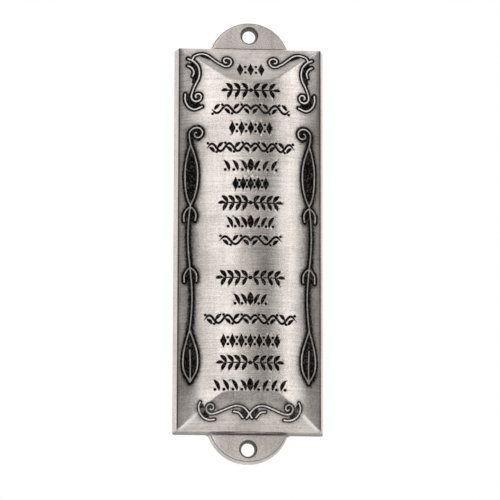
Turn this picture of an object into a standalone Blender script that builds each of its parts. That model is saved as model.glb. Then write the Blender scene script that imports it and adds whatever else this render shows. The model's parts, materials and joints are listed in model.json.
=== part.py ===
"""Mezuzah case: a hollow cast case with two screw ears, its back cover and the scroll inside.

The case stands as it hangs on a doorpost: +Z up along its length, the wall behind it at +Y and
the decorated front towards -Y. The origin is the centre of the back face, which lies on Y = 0.
Outlines give "depth", the distance in front of the back face. All sizes are in metres.
"""
import math

import bmesh
import bpy
from mathutils import Matrix, Vector

# Driving dimensions of the casting
CASE_HEIGHT = 0.1143
CASE_WIDTH = 0.0381
BODY_HEIGHT = 0.0995
EDGE_DEPTH = 0.0045
CREST_DEPTH = 0.0092
SIDE_DRAFT = 0.00085
END_DRAFT = 0.0005
END_SLOPE = 0.5
ARCH_POWER = 2.2
ARCH_STEPS = 28

# Ears at both ends, with a tapered hole for a wall screw
EAR_RADIUS = 0.0106
EAR_THICKNESS = 0.0024
EAR_DRAFT = 0.0005
EAR_FILLET = 0.0012
EAR_ROOT_SINK = 0.00005
EAR_HOLE_Z = 0.0534
EAR_HOLE_BACK_RADIUS = 0.0018
EAR_HOLE_FRONT_RADIUS = 0.0024

# Hollow for the scroll, and the step that the cover lies in
FRONT_WALL = 0.0019
CAVITY_HALF_WIDTH = 0.0156
CAVITY_HALF_HEIGHT = 0.0463
LEDGE = 0.0013
CLEARANCE = 0.0003
COVER_THICKNESS = 0.001
COVER_CORNER = 0.002

# Bosses and countersunk screws that hold the cover
BOSS_Z = 0.041
BOSS_RADIUS = 0.0028
SCREW_RADIUS = 0.001
SCREW_HEAD_RADIUS = 0.0019
SCREW_HEAD_RECESS = 0.00005
SCREW_LENGTH = 0.0052
SCREW_TIP = 0.0004
SLOT_WIDTH = 0.0005
SLOT_DEPTH = 0.00045

# Scroll, rolled from a parchment sheet, and the clear sleeve around it
SCROLL_HEIGHT = 0.070
SCROLL_RADIUS = 0.00225
SCROLL_CORE_RADIUS = 0.0006
SCROLL_TURNS = 7
PARCHMENT = 0.00012
SLEEVE_HEIGHT = 0.072
SLEEVE_RADIUS = 0.00275
SLEEVE_WALL = 0.0002

ROUND_STEPS = 32
PAST = 0.001
WELD = 0.000001

HALF_BODY = BODY_HEIGHT / 2
EDGE_HALF_WIDTH = CASE_WIDTH / 2 - SIDE_DRAFT
EDGE_HALF_HEIGHT = HALF_BODY - END_DRAFT
RISE = CREST_DEPTH - EDGE_DEPTH
REBATE_DEPTH = COVER_THICKNESS + CLEARANCE
INNER_CREST_DEPTH = CREST_DEPTH - FRONT_WALL
SCROLL_DEPTH = (COVER_THICKNESS + INNER_CREST_DEPTH) / 2

# Directions that an outline's own x, y and thickness take in the world
SECTION = Matrix(((1, 0, 0), (0, -1, 0), (0, 0, -1))).to_4x4()
SIDE_VIEW = Matrix(((0, 0, 1), (0, -1, 0), (1, 0, 0))).to_4x4()
FRONT_VIEW = Matrix.Rotation(math.pi / 2, 4, "X")
FROM_BACK = Matrix.Rotation(-math.pi / 2, 4, "X")


def clear_scene():
    for item in list(bpy.data.objects):
        bpy.data.objects.remove(item, do_unlink=True)


def make_collection(name):
    collection = bpy.data.collections.new(name)
    bpy.context.scene.collection.children.link(collection)
    return collection


def make_material(name, colour, roughness, metallic, alpha=1.0):
    material = bpy.data.materials.new(name)
    material.use_nodes = True
    shader = material.node_tree.nodes["Principled BSDF"]
    shader.inputs["Base Color"].default_value = (*colour, 1.0)
    shader.inputs["Roughness"].default_value = roughness
    shader.inputs["Metallic"].default_value = metallic
    shader.inputs["Alpha"].default_value = alpha
    return material


def add_object(name, data, place, collection):
    item = bpy.data.objects.new(name, data)
    item.matrix_world = place
    collection.objects.link(item)
    return item


def as_cutter(item):
    item.hide_render = True
    item.display_type = "WIRE"
    return item


def prism(name, outline, low, high, view, collection):
    """A flat outline, given a thickness from low to high along its view's third axis."""
    curve = bpy.data.curves.new(name, "CURVE")
    curve.dimensions = "2D"
    curve.fill_mode = "BOTH"
    curve.extrude = (high - low) / 2
    spline = curve.splines.new("POLY")
    spline.points.add(len(outline) - 1)
    for point, (x, y) in zip(spline.points, outline):
        point.co = (x, y, 0, 1)
    spline.use_cyclic_u = True
    place = view @ Matrix.Translation((0, 0, (low + high) / 2))
    flat = add_object(name + "_outline", curve, place, collection)
    bpy.context.view_layer.update()
    solid = bpy.data.meshes.new_from_object(flat.evaluated_get(bpy.context.evaluated_depsgraph_get()))
    bpy.data.objects.remove(flat)
    bpy.data.curves.remove(curve)
    shape = bmesh.new()
    shape.from_mesh(solid)
    bmesh.ops.remove_doubles(shape, verts=shape.verts, dist=WELD)
    bmesh.ops.recalc_face_normals(shape, faces=shape.faces)
    shape.to_mesh(solid)
    shape.free()
    solid.name = name
    return add_object(name, solid, place, collection)


def drafted_plate(name, outline, thickness, draft, collection):
    """A plate on the back plane whose edge leans in towards its front face."""
    shape = bmesh.new()
    ring = [shape.verts.new((x, z, 0)) for x, z in outline]
    front = shape.faces.new(ring)
    front.normal_update()
    shape.faces.new([shape.verts.new(vert.co) for vert in reversed(ring)])
    bmesh.ops.inset_individual(shape, faces=[front], thickness=draft, depth=thickness,
                               use_even_offset=True)
    bmesh.ops.remove_doubles(shape, verts=shape.verts, dist=WELD)
    plate = bpy.data.meshes.new(name)
    shape.to_mesh(plate)
    shape.free()
    return add_object(name, plate, FRONT_VIEW, collection)


def cone(name, back_radius, front_radius, back_depth, front_depth, centre_z, collection):
    """A round solid along Y, between two depths, with a radius at each end."""
    shape = bmesh.new()
    bmesh.ops.create_cone(shape, cap_ends=True, segments=ROUND_STEPS, radius1=back_radius,
                          radius2=front_radius, depth=front_depth - back_depth)
    solid = bpy.data.meshes.new(name)
    shape.to_mesh(solid)
    shape.free()
    middle = (back_depth + front_depth) / 2
    return add_object(name, solid, Matrix.Translation((0, -middle, centre_z)) @ FRONT_VIEW, collection)


def turned(name, profile, steps, place, collection):
    """A profile of (radius, height) points, from top to bottom, turned about its own Z axis."""
    line = bmesh.new()
    points = [line.verts.new((radius, 0, height)) for radius, height in profile]
    for start, end in zip(points, points[1:]):
        line.edges.new((start, end))
    edge = bpy.data.meshes.new(name)
    line.to_mesh(edge)
    line.free()
    item = add_object(name, edge, place, collection)
    screw = item.modifiers.new("turn", "SCREW")
    screw.axis = "Z"
    screw.steps = steps
    screw.render_steps = steps
    screw.use_merge_vertices = True
    screw.merge_threshold = WELD
    return item


def boolean(item, tool, operation):
    step = item.modifiers.new(tool.name, "BOOLEAN")
    step.object = tool
    step.operation = operation
    step.solver = "EXACT"


def arc(centre_x, centre_y, radius, start, end, steps):
    """Points of an arc between two angles in degrees."""
    angles = [math.radians(start + (end - start) * step / steps) for step in range(steps + 1)]
    return [(centre_x + radius * math.cos(a), centre_y + radius * math.sin(a)) for a in angles]


def rounded_rectangle(half_width, half_height, corner):
    x, y = half_width - corner, half_height - corner
    corners = ((x, y, 0), (-x, y, 90), (-x, -y, 180), (x, -y, 270))
    return [point for cx, cy, start in corners for point in arc(cx, cy, corner, start, start + 90, 6)]


def arch_depth(x):
    """Depth of the barrelled front at a distance x from its crest line."""
    return EDGE_DEPTH + RISE * (1 - (abs(x) / EDGE_HALF_WIDTH) ** ARCH_POWER)


def hip_depth(z):
    """Depth of the sloping end facets at a height z."""
    return EDGE_DEPTH + END_SLOPE * (EDGE_HALF_HEIGHT - abs(z))


def section_outline(half_width, back_half_width, back_depth, wall):
    """Cross-section below the arch, which a wall's thickness lowers."""
    steps = [2 * step / ARCH_STEPS - 1 for step in range(ARCH_STEPS + 1)]
    arch = [(half_width * step, arch_depth(half_width * step) - wall) for step in steps]
    return [(back_half_width, back_depth), (-back_half_width, back_depth)] + arch


def side_outline(half_height, back_half_height, back_depth, wall):
    """Side view with its two end facets, which run on past the crest of the arch."""
    top_depth = CREST_DEPTH - wall + PAST
    shoulder = hip_depth(half_height) - wall
    top_half_height = half_height - (top_depth - shoulder) / END_SLOPE
    right = [(back_half_height, back_depth), (half_height, shoulder), (top_half_height, top_depth)]
    return right + [(-height, depth) for height, depth in reversed(right)]


def ear_outline():
    """The upper ear: an arc with a concave fillet where each side meets the body."""
    centre = CASE_HEIGHT / 2 - EAR_RADIUS
    fillet_z = HALF_BODY + EAR_FILLET
    rise = fillet_z - centre
    fillet_x = math.sqrt((EAR_RADIUS + EAR_FILLET) ** 2 - rise ** 2)
    lean = math.degrees(math.atan2(rise, fillet_x))
    root_x, root_z = fillet_x + PAST, HALF_BODY - 2 * PAST
    shoulder_z = HALF_BODY - EAR_ROOT_SINK
    right = arc(fillet_x, fillet_z, EAR_FILLET, -90, lean - 180, 5)
    left = arc(-fillet_x, fillet_z, EAR_FILLET, -lean, -90, 5)
    top = arc(0, centre, EAR_RADIUS, lean, 180 - lean, ROUND_STEPS)
    right = [(root_x, root_z), (root_x, shoulder_z)] + right
    left = left + [(-root_x, shoulder_z), (-root_x, root_z)]
    return right + top[1:-1] + left


def build_case_front(parts, cutters):
    outline = section_outline(EDGE_HALF_WIDTH, CASE_WIDTH / 2, 0, 0)
    case = prism("case_front", outline, -HALF_BODY - PAST, HALF_BODY + PAST, SECTION, parts)
    outline = side_outline(EDGE_HALF_HEIGHT, HALF_BODY, 0, 0)
    hips = prism("hip_form", outline, -CASE_WIDTH / 2 - PAST, CASE_WIDTH / 2 + PAST, SIDE_VIEW, cutters)
    boolean(case, as_cutter(hips), "INTERSECT")
    for side, name in ((1, "upper"), (-1, "lower")):
        ring = [(side * x, side * z) for x, z in ear_outline()]
        ear = drafted_plate(name + "_ear_form", ring, EAR_THICKNESS, EAR_DRAFT, cutters)
        boolean(case, as_cutter(ear), "UNION")

    boolean(case, build_cavity(cutters), "DIFFERENCE")
    outline = rounded_rectangle(CAVITY_HALF_WIDTH + LEDGE, CAVITY_HALF_HEIGHT + LEDGE,
                                COVER_CORNER + CLEARANCE)
    rebate = prism("rebate_cutter", outline, -PAST, REBATE_DEPTH, FRONT_VIEW, cutters)
    boolean(case, as_cutter(rebate), "DIFFERENCE")

    taper = (EAR_HOLE_FRONT_RADIUS - EAR_HOLE_BACK_RADIUS) / EAR_THICKNESS
    pilot_radius = SCREW_RADIUS + CLEARANCE
    pilot_end = SCREW_LENGTH + 2 * CLEARANCE
    for side, name in ((1, "upper"), (-1, "lower")):
        pilot = cone(name + "_pilot_cutter", pilot_radius, pilot_radius, 0, pilot_end,
                     side * BOSS_Z, cutters)
        boolean(case, as_cutter(pilot), "DIFFERENCE")
        hole = cone(name + "_ear_hole_cutter", EAR_HOLE_BACK_RADIUS - taper * PAST,
                    EAR_HOLE_FRONT_RADIUS + taper * PAST, -PAST, EAR_THICKNESS + PAST,
                    side * EAR_HOLE_Z, cutters)
        boolean(case, as_cutter(hole), "DIFFERENCE")
    return case


def build_cavity(cutters):
    """The hollow behind the front wall, with the two bosses left standing in it."""
    outline = section_outline(CAVITY_HALF_WIDTH, CAVITY_HALF_WIDTH, -PAST, FRONT_WALL)
    cavity = prism("cavity_cutter", outline, -HALF_BODY, HALF_BODY, SECTION, cutters)
    outline = side_outline(CAVITY_HALF_HEIGHT, CAVITY_HALF_HEIGHT, -2 * PAST, FRONT_WALL)
    ends = prism("cavity_ends", outline, -CASE_WIDTH / 2, CASE_WIDTH / 2, SIDE_VIEW, cutters)
    boolean(cavity, as_cutter(ends), "INTERSECT")
    for side, name in ((1, "upper"), (-1, "lower")):
        boss = cone(name + "_boss_form", BOSS_RADIUS, BOSS_RADIUS, -3 * PAST, CREST_DEPTH,
                    side * BOSS_Z, cutters)
        boolean(cavity, as_cutter(boss), "DIFFERENCE")
    return as_cutter(cavity)


def build_back_cover(parts, cutters):
    outline = rounded_rectangle(CAVITY_HALF_WIDTH + LEDGE - CLEARANCE,
                                CAVITY_HALF_HEIGHT + LEDGE - CLEARANCE, COVER_CORNER)
    cover = prism("back_cover", outline, 0, COVER_THICKNESS, FRONT_VIEW, parts)
    mouth = SCREW_HEAD_RADIUS + math.sqrt(2) * CLEARANCE + PAST
    throat = mouth - COVER_THICKNESS - 2 * PAST
    for side, name in ((1, "upper"), (-1, "lower")):
        sink = cone(name + "_countersink_cutter", mouth, throat, -PAST, COVER_THICKNESS + PAST,
                    side * BOSS_Z, cutters)
        boolean(cover, as_cutter(sink), "DIFFERENCE")
        way = SCREW_RADIUS + CLEARANCE
        shank = cone(name + "_clearance_cutter", way, way, -2 * PAST, COVER_THICKNESS + 2 * PAST,
                     side * BOSS_Z, cutters)
        boolean(cover, as_cutter(shank), "DIFFERENCE")
    return cover


def build_cover_screw(name, centre_z, parts, cutters):
    head_end = SCREW_HEAD_RECESS + SCREW_HEAD_RADIUS - SCREW_RADIUS
    profile = [(0, -SCREW_HEAD_RECESS), (SCREW_HEAD_RADIUS, -SCREW_HEAD_RECESS),
               (SCREW_RADIUS, -head_end), (SCREW_RADIUS, SCREW_TIP - SCREW_LENGTH),
               (SCREW_RADIUS - SCREW_TIP, -SCREW_LENGTH), (0, -SCREW_LENGTH)]
    place = Matrix.Translation((0, 0, centre_z)) @ FROM_BACK
    screw = turned(name, profile, 24, place, parts)
    half = Vector((SCREW_HEAD_RADIUS + PAST, SLOT_WIDTH / 2))
    outline = [(-half.x, -half.y), (half.x, -half.y), (half.x, half.y), (-half.x, half.y)]
    slot = prism(name + "_slot_cutter", [(x, z + centre_z) for x, z in outline],
                 -PAST, SCREW_HEAD_RECESS + SLOT_DEPTH, FRONT_VIEW, cutters)
    boolean(screw, as_cutter(slot), "DIFFERENCE")
    return screw


def build_scroll(parts):
    """A ribbon that follows a spiral, thickened to the parchment's thickness."""
    pitch = (SCROLL_RADIUS - PARCHMENT / 2 - SCROLL_CORE_RADIUS) / SCROLL_TURNS
    steps_per_turn = 20
    curve = bpy.data.curves.new("scroll", "CURVE")
    curve.dimensions = "3D"
    curve.extrude = SCROLL_HEIGHT / 2
    spline = curve.splines.new("POLY")
    count = SCROLL_TURNS * steps_per_turn
    spline.points.add(count)
    for step, point in enumerate(spline.points):
        turn = step / steps_per_turn
        radius = SCROLL_CORE_RADIUS + pitch * turn
        angle = 2 * math.pi * turn
        point.co = (radius * math.cos(angle), radius * math.sin(angle), 0, 1)
    item = add_object("scroll", curve, Matrix.Translation((0, -SCROLL_DEPTH, 0)), parts)
    shell = item.modifiers.new("parchment", "SOLIDIFY")
    shell.thickness = PARCHMENT
    shell.offset = 0
    return item


def build_scroll_sleeve(parts):
    """A tube of clear film, open at both ends."""
    profile = [(SLEEVE_RADIUS, SLEEVE_HEIGHT / 2), (SLEEVE_RADIUS, -SLEEVE_HEIGHT / 2)]
    place = Matrix.Translation((0, -SCROLL_DEPTH, 0))
    sleeve = turned("scroll_sleeve", profile, ROUND_STEPS, place, parts)
    shell = sleeve.modifiers.new("film", "SOLIDIFY")
    shell.thickness = SLEEVE_WALL
    shell.offset = -1
    return sleeve


def finish(item, material, frame):
    item.data.materials.clear()
    item.data.materials.append(material)
    if item.type == "MESH":
        item.data.shade_smooth()
        item.data.set_sharp_from_angle(angle=math.radians(30))
    item.parent = frame


def main():
    clear_scene()
    parts = make_collection("mezuzah_case")
    cutters = make_collection("cutters")
    frame = add_object("case_frame", None, Matrix.Identity(4), parts)

    pewter = make_material("antique_pewter", (0.62, 0.60, 0.57), 0.38, 1.0)
    sheet_metal = make_material("cover_sheet", (0.50, 0.50, 0.50), 0.45, 1.0)
    screw_steel = make_material("screw_steel", (0.60, 0.60, 0.62), 0.30, 1.0)
    parchment = make_material("parchment", (0.80, 0.70, 0.50), 0.80, 0.0)
    film = make_material("clear_film", (0.90, 0.93, 0.95), 0.10, 0.0, 0.35)

    finish(build_case_front(parts, cutters), pewter, frame)
    finish(build_back_cover(parts, cutters), sheet_metal, frame)
    finish(build_cover_screw("upper_cover_screw", BOSS_Z, parts, cutters), screw_steel, frame)
    finish(build_cover_screw("lower_cover_screw", -BOSS_Z, parts, cutters), screw_steel, frame)
    finish(build_scroll(parts), parchment, frame)
    finish(build_scroll_sleeve(parts), film, frame)


main()
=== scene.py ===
"""Looks of the mezuzah case: its relief, engraved rows, patina with painted shade and highlights,
back, screws and scroll.

Shapes are worked out in millimetres, in the CAD frame: X to the viewer's right, Z up along the
case, and "depth" is the distance in front of the back face, towards -Y.
"""
import functools
import json
import math

import bmesh
import bpy
import numpy as np
from mathutils import Matrix, Vector
from mathutils.geometry import delaunay_2d_cdt

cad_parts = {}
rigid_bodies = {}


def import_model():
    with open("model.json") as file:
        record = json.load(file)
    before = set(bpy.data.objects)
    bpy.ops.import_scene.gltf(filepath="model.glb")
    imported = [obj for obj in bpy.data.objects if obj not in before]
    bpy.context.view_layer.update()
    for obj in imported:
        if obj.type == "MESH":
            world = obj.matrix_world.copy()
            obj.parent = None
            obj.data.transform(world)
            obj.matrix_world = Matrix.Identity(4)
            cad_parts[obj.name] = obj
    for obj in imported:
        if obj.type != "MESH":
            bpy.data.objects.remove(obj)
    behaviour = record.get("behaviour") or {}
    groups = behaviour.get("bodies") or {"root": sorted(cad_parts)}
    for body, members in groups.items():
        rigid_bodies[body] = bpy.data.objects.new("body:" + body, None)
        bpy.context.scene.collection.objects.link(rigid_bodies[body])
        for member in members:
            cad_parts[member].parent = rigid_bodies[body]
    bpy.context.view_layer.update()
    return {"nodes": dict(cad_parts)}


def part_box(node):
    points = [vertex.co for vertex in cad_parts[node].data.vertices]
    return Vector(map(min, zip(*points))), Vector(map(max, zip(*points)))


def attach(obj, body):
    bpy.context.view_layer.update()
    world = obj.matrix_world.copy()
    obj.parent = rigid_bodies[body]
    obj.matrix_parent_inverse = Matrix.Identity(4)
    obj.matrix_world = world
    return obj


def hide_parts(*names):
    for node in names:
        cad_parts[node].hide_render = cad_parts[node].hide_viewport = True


for leftover in list(bpy.data.objects):
    bpy.data.objects.remove(leftover, do_unlink=True)
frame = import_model()

MM = 0.001
WELD = 0.00001 * MM
CAD_WELD = 0.001 * MM

# The casting's outline, as the CAD has it
CASE_LOW, CASE_HIGH = (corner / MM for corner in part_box("case_front"))
HALF_WIDTH = CASE_HIGH.x
HALF_CASE = CASE_HIGH.z
CREST_DEPTH = -CASE_LOW.y
HALF_BODY = 49.75
EDGE_DEPTH = 4.5
SIDE_DRAFT = 0.85
END_DRAFT = 0.5
END_SLOPE = 0.5
HIP_SWELL = 0.03
TOP_CREASE_BEND = 1.6
FOOT_CREASE_BEND = 0.8
TOP_CREASE_LEAN = 0.75
FOOT_CREASE_LEAN = 0.86
ARCH_POWER = 2.2
EDGE_HALF_WIDTH = HALF_WIDTH - SIDE_DRAFT
EDGE_HALF_HEIGHT = HALF_BODY - END_DRAFT
CREASE_SOFTNESS = 0.17
BODY_CORNER = 0.45
EDGE_ROUND = 0.28
REBATE_HALF_WIDTH = 17.2
REBATE_HALF_HEIGHT = 47.8
HOLLOW_RUN_ON = 1.5

EAR_RADIUS = 10.6
EAR_THICKNESS = 2.4
EAR_FILLET = 1.2
EAR_HOLE_Z = 53.4
EAR_HOLE_BACK_RADIUS = 1.8
EAR_HOLE_FRONT_RADIUS = 2.4
EAR_EDGE = ((0.40, 1.92), (0.5, 2.4), (1.0, 2.4))  # how far in and how deep its curve is drawn
EAR_LINE_INSET, EAR_LINE_DEPTH = 0.6, 2.28

# Relief: raised lines that stand in a recessed channel, and engraved marks
LINE_PROFILE = ((0.0, 0.14), (0.11, 0.08), (0.23, -0.30))
CHANNEL_DEPTH = 0.30
CHANNEL_DRAFT = 0.18
MARK_DEPTH = 0.34
MARK_DRAFT = 0.11
GUARD = 0.06
STROKE_SPACING = 0.25
FIELD_REACH = 3.0
CONTOUR_STEP = 0.18
SURFACE_STEP = 0.65

HOLLOW_PATINA = 0.55
# How dark the painted shade lies along the middle of each ear's rounded front edge
EAR_BEVEL_SHADE = 0.70


# ------------------------ small tools

def curl(centre, start_radius, end_radius, start, sweep, squeeze=1.0):
    """Points of a spiral, one every 40 degrees. Angles are in degrees, positive anticlockwise."""
    count = max(2, round(abs(sweep) / 40))
    points = []
    for step in range(count + 1):
        share = step / count
        angle = math.radians(start + sweep * share)
        radius = start_radius + (end_radius - start_radius) * share
        points.append((centre[0] + radius * squeeze * math.cos(angle),
                       centre[1] + radius * math.sin(angle)))
    return points


def smooth_stroke(points, half_width):
    """A smooth line through given points, as rows of x, z and its half width."""
    p = np.array(points, float)
    p = np.vstack([2 * p[0] - p[1], p, 2 * p[-1] - p[-2]])
    pieces = []
    for a, b, c, d in zip(p, p[1:], p[2:], p[3:]):
        count = max(2, int(np.ceil(np.linalg.norm(c - b) / STROKE_SPACING)))
        t = np.linspace(0, 1, count, endpoint=False)[:, None]
        bend = (2 * a - 5 * b + 4 * c - d) * t ** 2 + (3 * b - a - 3 * c + d) * t ** 3
        pieces.append(0.5 * (2 * b + (c - a) * t + bend))
    line = np.vstack(pieces + [p[-2:-1]])
    return np.column_stack([line, np.full(len(line), half_width)])


def mirrored(strokes):
    return strokes + [stroke * np.array((-1, 1, 1)) for stroke in strokes]


def stroke_field(points, strokes):
    """Signed distance from each point to the nearest stroke's edge, as far as FIELD_REACH."""
    order = np.argsort(points[:, 1], kind="stable")
    x, z = points[order].T
    nearest = np.full(len(x), FIELD_REACH)
    for stroke in strokes:
        for (x0, z0, r0), (x1, z1, r1) in zip(stroke, stroke[1:]):
            margin = FIELD_REACH + max(r0, r1)
            first, last = np.searchsorted(z, (min(z0, z1) - margin, max(z0, z1) + margin))
            near = first + np.flatnonzero((x[first:last] > min(x0, x1) - margin)
                                          & (x[first:last] < max(x0, x1) + margin))
            dx, dz = x1 - x0, z1 - z0
            length = max(dx * dx + dz * dz, 1e-9)
            t = np.clip(((x[near] - x0) * dx + (z[near] - z0) * dz) / length, 0, 1)
            away = np.hypot(x[near] - x0 - t * dx, z[near] - z0 - t * dz) - r0 - (r1 - r0) * t
            nearest[near] = np.minimum(nearest[near], away)
    field = np.empty_like(nearest)
    field[order] = nearest
    return field


def contour(field, xs, zs, level):
    """Segments of a grid field's contour line, found in cells split into two triangles."""
    grid_x, grid_z = np.meshgrid(xs, zs)
    corners = np.stack([grid_x, grid_z, field - level], axis=-1)
    low_left, low_right = corners[:-1, :-1], corners[:-1, 1:]
    high_left, high_right = corners[1:, :-1], corners[1:, 1:]
    segments = []
    for trio in ((low_left, low_right, high_right), (low_left, high_right, high_left)):
        trio = np.stack([corner.reshape(-1, 3) for corner in trio], axis=1)
        below = trio[:, :, 2] < 0
        trio = trio[below.any(axis=1) & ~below.all(axis=1)]
        start, end = trio, np.roll(trio, -1, axis=1)
        crosses = (start[:, :, 2] < 0) != (end[:, :, 2] < 0)
        share = start[:, :, 2] / np.where(crosses, start[:, :, 2] - end[:, :, 2], 1)
        hit = start[:, :, :2] + share[:, :, None] * (end - start)[:, :, :2]
        segments.append(hit[crosses].reshape(-1, 2, 2))
    return np.concatenate(segments)


def new_object(name, mesh):
    item = bpy.data.objects.new(name, mesh)
    bpy.context.scene.collection.objects.link(item)
    return item


def solid_from(name, vertices, faces):
    """An object from vertices in millimetres, welded and with its faces pointing out."""
    mesh = bpy.data.meshes.new(name)
    mesh.from_pydata((np.asarray(vertices, float) * MM).tolist(), [], faces)
    shape = bmesh.new()
    shape.from_mesh(mesh)
    bmesh.ops.remove_doubles(shape, verts=shape.verts, dist=WELD)
    open_edges = [edge for edge in shape.edges if edge.is_boundary]
    if open_edges:
        bmesh.ops.holes_fill(shape, edges=open_edges)
    bmesh.ops.recalc_face_normals(shape, faces=shape.faces)
    shape.to_mesh(mesh)
    shape.free()
    return new_object(name, mesh)


def ring_faces(rows, count, closed=False):
    """Four-sided faces between rings of points, and back to the first ring if closed."""
    return [(row * count + step, row * count + (step + 1) % count,
             (row + 1) % rows * count + (step + 1) % count, (row + 1) % rows * count + step)
            for row in range(rows if closed else rows - 1) for step in range(count)]


def loft(name, rings):
    """A closed solid through rings of (x, y, z) points that match one to one."""
    count = len(rings[0])
    faces = ring_faces(len(rings), count)
    faces.append(tuple(range(count)))
    faces.append(tuple((len(rings) - 1) * count + step for step in range(count)))
    return solid_from(name, np.vstack(rings), faces)


def combine(item, tool, operation):
    """Joins or cuts with a tool, which is used up."""
    step = item.modifiers.new("step", "BOOLEAN")
    step.object = tool
    step.operation = operation
    step.solver = "MANIFOLD"
    bpy.context.view_layer.update()
    old = item.data
    item.data = bpy.data.meshes.new_from_object(
        item.evaluated_get(bpy.context.evaluated_depsgraph_get()))
    item.modifiers.clear()
    bpy.data.meshes.remove(old)
    bpy.data.objects.remove(tool)


def vertices_of(item):
    points = np.empty(len(item.data.vertices) * 3)
    item.data.vertices.foreach_get("co", points)
    return points.reshape(-1, 3) / MM


def set_attribute(item, name, values):
    layer = item.data.attributes.new(name, "FLOAT", "POINT")
    layer.data.foreach_set("value", np.asarray(values, np.float32))


def shade_by_angle(piece, degrees, applies=lambda edge: True):
    """Smooth shading, with a hard edge wherever two faces meet at more than the angle."""
    piece.data.shade_smooth()
    shape = bmesh.new()
    shape.from_mesh(piece.data)
    for edge in shape.edges:
        edge.smooth = not applies(edge) or edge.calc_face_angle(0) < math.radians(degrees)
    shape.to_mesh(piece.data)
    shape.free()


def smooth_step(value, low, high):
    t = np.clip((value - low) / (high - low), 0, 1)
    return t * t * (3 - 2 * t)


# ------------------------ ornament on the left side

def left_lines():
    """The scrollwork's centrelines, each with the half width of the channel it stands in."""
    corner_scroll = [(-14.9, 45.8), (-14.1, 46.9), (-12.6, 47.5), (-11.2, 47.3), (-10.0, 46.4),
                     (-8.6, 45.2)] + curl((-6.1, 45.5), 1.7, 0.4, 215, 420)
    s_scroll = [(-15.9, 46.2), (-14.6, 45.5), (-13.4, 44.1), (-13.0, 42.3), (-13.3, 40.6),
                (-14.3, 38.6)] + curl((-13.5, 36.1), 1.55, 0.3, 160, 430)
    inner_leaf = [(-15.9, 44.4), (-14.9, 43.7), (-14.4, 42.6), (-14.7, 41.5)]
    hook = [(-16.5, 37.0), (-16.5, 35.3), (-15.7, 33.7), (-14.2, 32.8), (-12.3, 33.4)]
    volute = [(-15.1, 8.0), (-14.1, 10.2), (-13.4, 13.6), (-13.4, 17.6), (-14.2, 21.2),
              (-15.1, 23.8)] + curl((-13.5, 26.4), 1.95, 0.4, 180, -430)
    partner = [(-15.1, 8.0), (-15.9, 10.2), (-16.4, 13.6), (-16.4, 17.6), (-15.9, 20.8),
               (-15.2, 23.4)]
    z = np.linspace(8, -24, 17)
    stem = list(zip(-15.1 - 0.55 * np.sin(math.pi * (8 - z) / 16), z))
    tendrils = [[(-15.2, 7.6), (-16.1, 6.8), (-16.7, 5.5), (-16.6, 4.0)],
                [(-15.1, 7.6), (-14.2, 6.8), (-13.7, 5.5), (-13.9, 4.0)],
                [(-15.1, -8.0), (-15.9, -8.8), (-16.5, -10.0), (-16.5, -11.6)],
                [(-15.1, -8.0), (-14.1, -8.8), (-13.5, -10.0), (-13.5, -11.6)]]
    oval = [[(-15.1, -24.0), (-15.9, -26.8), (-16.6, -30.2), (-16.5, -34.0), (-14.9, -37.2)],
            [(-15.1, -24.0), (-14.1, -26.8), (-13.2, -30.2), (-13.3, -34.0), (-14.9, -37.2)],
            [(-14.9, -36.8), (-14.9, -33.0), (-15.0, -29.0)]]
    foot_hook = [(-12.4, -42.3), (-12.8, -43.5), (-12.5, -44.9), (-11.5, -46.1), (-10.2, -46.6),
                 (-8.7, -46.5)]
    foot_scroll = [(0.7, -46.1), (-0.4, -44.6), (-1.7, -43.5), (-3.5, -43.2), (-5.7, -43.9),
                   (-7.9, -44.8)] + curl((-9.7, -43.8), 1.45, 0.3, -75, -420)
    foot_leaf = [(-4.0, -44.6), (-2.8, -44.8), (-1.6, -46.0)]
    border = [volute, partner, stem, *tendrils, *oval]
    groups = ((0.66, [corner_scroll, s_scroll, inner_leaf, hook]), (0.74, border),
              (0.52, [foot_hook, foot_scroll, foot_leaf]))
    return [smooth_stroke(line, channel) for channel, group in groups for line in group]


def left_recesses():
    """Wide strokes, as (x, z, half width), that sink the ground between close lines."""
    strokes = [
        [(-15.0, 44.6, 0.5), (-14.1, 43.2, 0.9), (-14.0, 41.6, 0.7), (-14.6, 39.8, 0.3)],
        [(-12.6, 46.9, 0.3), (-11.4, 46.6, 0.5), (-10.4, 46.0, 0.3)],
        [(-15.7, 36.6, 0.5), (-15.4, 34.9, 0.7), (-14.2, 33.9, 0.7), (-12.9, 34.0, 0.3)],
        [(-13.6, 35.8, 1.0), (-13.3, 36.2, 1.0)],
        [(-6.2, 45.3, 0.9), (-6.0, 45.6, 0.9)],
        [(-14.5, 27.4, 0.6), (-13.3, 27.6, 0.6), (-12.8, 26.2, 0.9), (-13.2, 25.0, 0.6)],
        [(-15.0, 21.6, 0.3), (-14.9, 18.0, 1.0), (-14.9, 14.0, 1.0), (-15.1, 10.0, 0.3)],
        [(-16.0, 6.0, 0.3), (-16.1, 4.4, 0.3)], [(-14.7, 6.2, 0.3), (-14.7, 4.6, 0.3)],
        [(-15.8, -10.0, 0.3), (-15.8, -11.4, 0.3)], [(-14.3, -10.0, 0.4), (-14.2, -11.4, 0.3)],
        [(-15.3, -26.2, 0.2), (-15.7, -29.0, 0.5), (-15.8, -32.0, 0.6), (-15.5, -35.0, 0.5)],
        [(-14.9, -26.2, 0.2), (-14.3, -29.0, 0.5), (-14.1, -32.0, 0.6), (-14.3, -35.0, 0.5)],
        [(-12.1, -43.2, 0.5), (-11.6, -44.9, 0.6), (-10.4, -45.8, 0.4)],
        [(-9.8, -43.8, 0.9), (-9.6, -43.6, 0.9)],
        [(-1.7, -44.5, 0.6), (-0.9, -45.4, 0.6)],
        [(0.0, -45.6, 0.5), (0.0, -46.0, 0.4)],
    ]
    return [np.array(stroke) for stroke in strokes]


# ------------------------ engraved rows of ornament

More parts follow.
